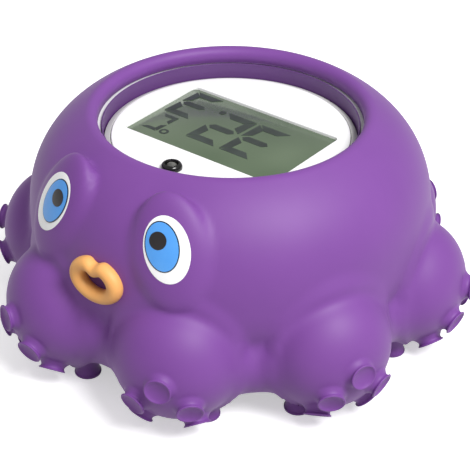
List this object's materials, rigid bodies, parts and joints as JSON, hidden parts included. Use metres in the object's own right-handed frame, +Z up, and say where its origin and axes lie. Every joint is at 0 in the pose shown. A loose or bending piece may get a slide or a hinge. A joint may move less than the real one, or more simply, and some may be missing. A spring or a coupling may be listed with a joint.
{
  "type": "floating bath thermometer",
  "caption": "Round-headed floating toy animal of soft rubber whose open top holds a round module with a display; it shows the bath water's warmth.",
  "frame": {"origin": "on the ground under the middle of the round body", "axes": "+Z up along the module's axis, the face looks towards -Y, +X to the right when seen from the face"},
  "size_m": [0.11, 0.11, 0.0555],
  "materials": {
    "octopus_rubber": "matte moulded",
    "white_plastic": "satin",
    "face_plate": "satin",
    "lcd_glass": "display glass",
    "door_plastic": "satin",
    "sensor_steel": "drawn",
    "lips_rubber": "moulded",
    "trim_ring": "satin",
    "black_gloss": "polished",
    "screw_steel": "zinc plated",
    "pin_steel": "bright",
    "eye_white": "pad printed",
    "eye_blue": "pad printed",
    "eye_black": "pad printed",
    "lcd_frame": "moulded",
    "zebra_rubber": "moulded",
    "circuit_board": "solder mask",
    "black_plastic": "satin",
    "can_steel": "plated",
    "capacitor_sleeve": "sleeved",
    "silicone": "moulded",
    "grey_lead": "insulated wire",
    "red_lead": "insulated wire",
    "black_lead": "insulated wire",
    "lamp_lens": "clear tinted"
  },
  "bodies": {
    "root": {"octopus_shell": "octopus_rubber", "module_housing": "white_plastic", "face_plate": "face_plate", "lcd_cell": "lcd_glass", "battery_door": "door_plastic", "sensor_cap": "sensor_steel", "mouth_lips": "lips_rubber", "trim_ring": "trim_ring", "bezel_ring": "white_plastic", "lamp_bezel": "black_gloss", "door_screw_left": "screw_steel", "door_screw_right": "screw_steel", "water_contact_left": "pin_steel", "water_contact_right": "pin_steel", "eye_white_left": "eye_white", "iris_left": "eye_blue", "pupil_left": "eye_black", "eye_white_right": "eye_white", "iris_right": "eye_blue", "pupil_right": "eye_black", "lcd_frame": "lcd_frame", "zebra_strip_front": "zebra_rubber", "zebra_strip_back": "zebra_rubber", "circuit_board": "circuit_board", "chip_blob": "black_plastic", "crystal": "can_steel", "capacitor": "capacitor_sleeve", "buzzer": "black_plastic", "button_cell": "can_steel", "contact_positive": "can_steel", "contact_negative": "can_steel", "plate_seal": "silicone", "door_gasket": "silicone", "thermistor": "black_plastic", "sensor_lead_left": "grey_lead", "sensor_lead_right": "grey_lead", "battery_lead_red": "red_lead", "battery_lead_black": "black_lead", "lamp_lens": "lamp_lens", "board_screw_1": "screw_steel", "board_screw_2": "screw_steel", "board_screw_3": "screw_steel", "board_screw_4": "screw_steel"}
  },
  "joints": []
}
